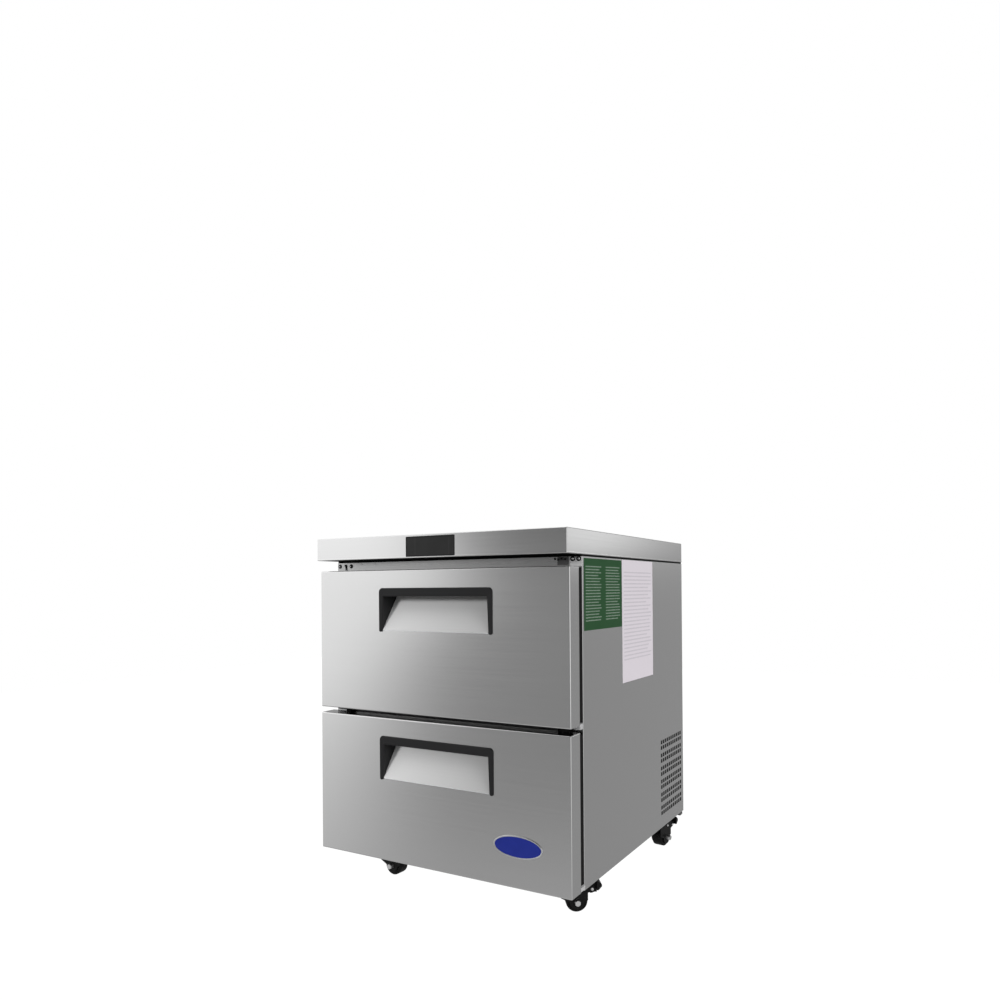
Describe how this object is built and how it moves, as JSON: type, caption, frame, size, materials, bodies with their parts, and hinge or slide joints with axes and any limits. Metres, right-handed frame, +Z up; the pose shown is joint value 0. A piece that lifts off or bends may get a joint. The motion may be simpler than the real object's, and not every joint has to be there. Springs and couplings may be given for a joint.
{
  "type": "undercounter drawer refrigerator",
  "caption": "Stainless steel undercounter refrigerator with two full-width pull-out drawers, recessed black handles, a flat worktop, side vents and swivel casters.",
  "frame": {"origin": "on the floor under the middle of the cabinet, at the bottom centre of the bounding box", "axes": "+Z up, -Y out of the drawer fronts, +X to the right seen from the front"},
  "size_m": [0.6984, 0.762, 0.866],
  "materials": {
    "worktop_steel": "satin brushed stainless steel, grain along the front",
    "panel_steel": "satin brushed stainless steel",
    "drawer_steel": "satin brushed stainless steel",
    "rack_steel": "bent stainless sheet",
    "galvanised": "galvanised sheet, dull spangle",
    "liner_aluminium": "clear coated aluminium sheet",
    "fin_aluminium": "thin fins",
    "liner_plastic": "moulded light grey plastic",
    "core_board": "dark edge of the worktop core",
    "black_plastic": "fine textured black moulding",
    "display_glass": "smoked gloss window",
    "gasket_rubber": "dark magnetic gasket",
    "foam": "polyurethane foam",
    "black_paint": "black enamel",
    "condenser_paint": "black coated fins",
    "wheel_rubber": "black elastomer tread"
  },
  "bodies": {
    "cabinet": {"worktop_skin": "worktop_steel", "worktop_board": "core_board", "display_bezel": "black_plastic", "display_window": "display_glass", "left_side_panel": "panel_steel", "right_side_panel": "panel_steel", "back_panel": "galvanised", "rear_grille": "galvanised", "cord_gland": "black_plastic", "base_pan": "galvanised", "bottom_rail": "panel_steel", "compartment_partition": "galvanised", "top_rail": "panel_steel", "mullion": "black_plastic", "foam_insulation": "foam", "inner_liner": "liner_aluminium", "evaporator_housing": "liner_aluminium", "evaporator_coil": "fin_aluminium", "evaporator_fan_motor": "black_plastic", "compressor": "black_paint", "condenser": "condenser_paint", "fan_motor": "black_paint", "upper_slide_cabinet_left": "galvanised", "upper_slide_cabinet_right": "galvanised", "lower_slide_cabinet_left": "galvanised", "lower_slide_cabinet_right": "galvanised", "front_right_caster_plate": "black_paint", "front_left_caster_plate": "black_paint", "rear_right_caster_plate": "black_paint", "rear_left_caster_plate": "black_paint"},
    "upper_slides": {"upper_slide_middle_left": "galvanised", "upper_slide_middle_right": "galvanised"},
    "upper_drawer": {"upper_front_skin": "drawer_steel", "upper_front_inner": "liner_plastic", "upper_gasket": "gasket_rubber", "upper_handle_frame": "black_plastic", "upper_handle_plate": "drawer_steel", "upper_pan_rack": "rack_steel"},
    "lower_slides": {"lower_slide_middle_left": "galvanised", "lower_slide_middle_right": "galvanised"},
    "lower_drawer": {"lower_front_skin": "drawer_steel", "lower_front_inner": "liner_plastic", "lower_gasket": "gasket_rubber", "lower_handle_frame": "black_plastic", "lower_handle_plate": "drawer_steel", "lower_pan_rack": "rack_steel"},
    "evaporator_fan": {"evaporator_fan": "black_plastic"},
    "condenser_fan": {"condenser_fan": "black_plastic"},
    "front_right_fork": {"front_right_caster_fork": "black_paint"},
    "front_right_wheel": {"front_right_caster_wheel": "wheel_rubber"},
    "front_right_brake": {"front_right_brake_lever": "black_plastic"},
    "front_left_fork": {"front_left_caster_fork": "black_paint"},
    "front_left_wheel": {"front_left_caster_wheel": "wheel_rubber"},
    "front_left_brake": {"front_left_brake_lever": "black_plastic"},
    "rear_right_fork": {"rear_right_caster_fork": "black_paint"},
    "rear_right_wheel": {"rear_right_caster_wheel": "wheel_rubber"},
    "rear_right_brake": {"rear_right_brake_lever": "black_plastic"},
    "rear_left_fork": {"rear_left_caster_fork": "black_paint"},
    "rear_left_wheel": {"rear_left_caster_wheel": "wheel_rubber"},
    "rear_left_brake": {"rear_left_brake_lever": "black_plastic"}
  },
  "joints": [
    {"name": "upper_drawer_slide", "type": "slide", "parent": "cabinet", "child": "upper_drawer", "axis": [0, -1, 0], "range_m": [0, 0.4]},
    {"name": "upper_slides_travel", "type": "slide", "parent": "cabinet", "child": "upper_slides", "axis": [0, -1, 0], "range_m": [0, 0.2]},
    {"name": "lower_drawer_slide", "type": "slide", "parent": "cabinet", "child": "lower_drawer", "axis": [0, -1, 0], "range_m": [0, 0.4]},
    {"name": "lower_slides_travel", "type": "slide", "parent": "cabinet", "child": "lower_slides", "axis": [0, -1, 0], "range_m": [0, 0.2]},
    {"name": "evaporator_fan_spin", "type": "hinge", "parent": "cabinet", "child": "evaporator_fan", "pos_m": [0, 0.238, 0.583], "axis": [0, 1, 0], "continuous": true},
    {"name": "condenser_fan_spin", "type": "hinge", "parent": "cabinet", "child": "condenser_fan", "pos_m": [0.2826, 0.2675, 0.194], "axis": [1, 0, 0], "continuous": true},
    {"name": "front_right_swivel", "type": "hinge", "parent": "cabinet", "child": "front_right_fork", "pos_m": [0.255, -0.225, 0.08], "axis": [0, 0, 1], "continuous": true},
    {"name": "front_right_wheel_spin", "type": "hinge", "parent": "front_right_fork", "child": "front_right_wheel", "pos_m": [0.28039, -0.20722, 0.02518], "axis": [-0.5736, 0.8192, 0], "continuous": true},
    {"name": "front_right_brake_press", "type": "hinge", "parent": "front_right_fork", "child": "front_right_brake", "pos_m": [0.30906, -0.18714, 0.053], "axis": [-0.5736, 0.8192, 0], "range_deg": [0, 20]},
    {"name": "front_left_swivel", "type": "hinge", "parent": "cabinet", "child": "front_left_fork", "pos_m": [-0.255, -0.225, 0.08], "axis": [0, 0, 1], "continuous": true},
    {"name": "front_left_wheel_spin", "type": "hinge", "parent": "front_left_fork", "child": "front_left_wheel", "pos_m": [-0.22404, -0.22662, 0.02518], "axis": [0.0523, 0.9986, 0], "continuous": true},
    {"name": "front_left_brake_press", "type": "hinge", "parent": "front_left_fork", "child": "front_left_brake", "pos_m": [-0.18909, -0.22845, 0.053], "axis": [0.0523, 0.9986, 0], "range_deg": [0, 20]},
    {"name": "rear_right_swivel", "type": "hinge", "parent": "cabinet", "child": "rear_right_fork", "pos_m": [0.2963, 0.288, 0.08], "axis": [0, 0, 1], "continuous": true},
    {"name": "rear_right_wheel_spin", "type": "hinge", "parent": "rear_right_fork", "child": "rear_right_wheel", "pos_m": [0.30061, 0.3187, 0.02518], "axis": [-0.9903, 0.1392, 0], "continuous": true},
    {"name": "rear_right_brake_press", "type": "hinge", "parent": "rear_right_fork", "child": "rear_right_brake", "pos_m": [0.30549, 0.35336, 0.053], "axis": [-0.9903, 0.1392, 0], "range_deg": [0, 20]},
    {"name": "rear_left_swivel", "type": "hinge", "parent": "cabinet", "child": "rear_left_fork", "pos_m": [-0.2963, 0.288, 0.08], "axis": [0, 0, 1], "continuous": true},
    {"name": "rear_left_wheel_spin", "type": "hinge", "parent": "rear_left_fork", "child": "rear_left_wheel", "pos_m": [-0.30061, 0.3187, 0.02518], "axis": [-0.9903, -0.1392, 0], "continuous": true},
    {"name": "rear_left_brake_press", "type": "hinge", "parent": "rear_left_fork", "child": "rear_left_brake", "pos_m": [-0.30549, 0.35336, 0.053], "axis": [-0.9903, -0.1392, 0], "range_deg": [0, 20]}
  ],
  "couplings": [
    {"joint": "upper_slides_travel", "follows": "upper_drawer_slide", "ratio": 0.5},
    {"joint": "lower_slides_travel", "follows": "lower_drawer_slide", "ratio": 0.5}
  ]
}
